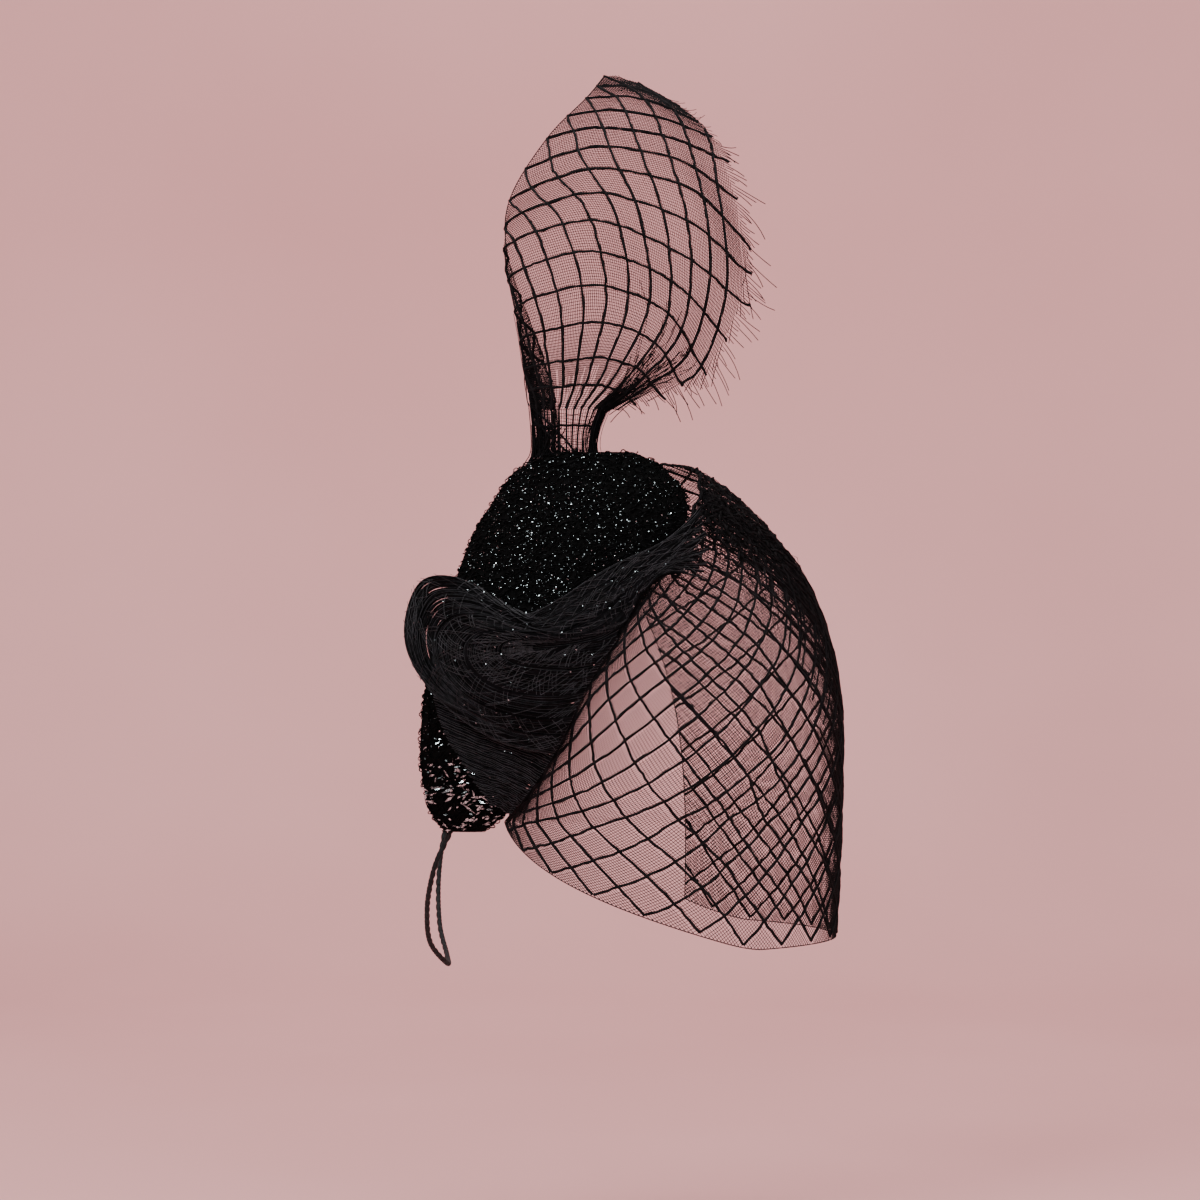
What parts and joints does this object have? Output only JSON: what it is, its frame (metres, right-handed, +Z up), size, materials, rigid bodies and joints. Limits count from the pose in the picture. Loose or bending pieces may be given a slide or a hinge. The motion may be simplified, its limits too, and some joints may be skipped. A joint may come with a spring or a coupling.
{
  "type": "net fascinator",
  "caption": "Tilted side-worn fascinator: sparkling beaded teardrop base, windowpane net face veil, gathered side drape, standing net plume and a head elastic.",
  "frame": {"origin": "the point of the base's underside that rests on the right side of the wearer's head", "axes": "+X toward the wearer's front, +Y toward the wearer's left, from the base into the head, +Z up"},
  "size_m": [0.1724, 0.17, 0.3616],
  "materials": {
    "beaded_straw": "black crochet with glinting sequins and beads",
    "net_cord": "matt black cord net",
    "pleated_net": "black pleated net with a soft sheen",
    "elastic": "matt black plait"
  },
  "bodies": {
    "root": {"base_shell": "beaded_straw", "face_veil": "net_cord", "side_drape": "pleated_net", "lower_fan": "pleated_net", "plume": "net_cord", "plume_foot": "pleated_net", "elastic_cord": "elastic"}
  },
  "joints": []
}
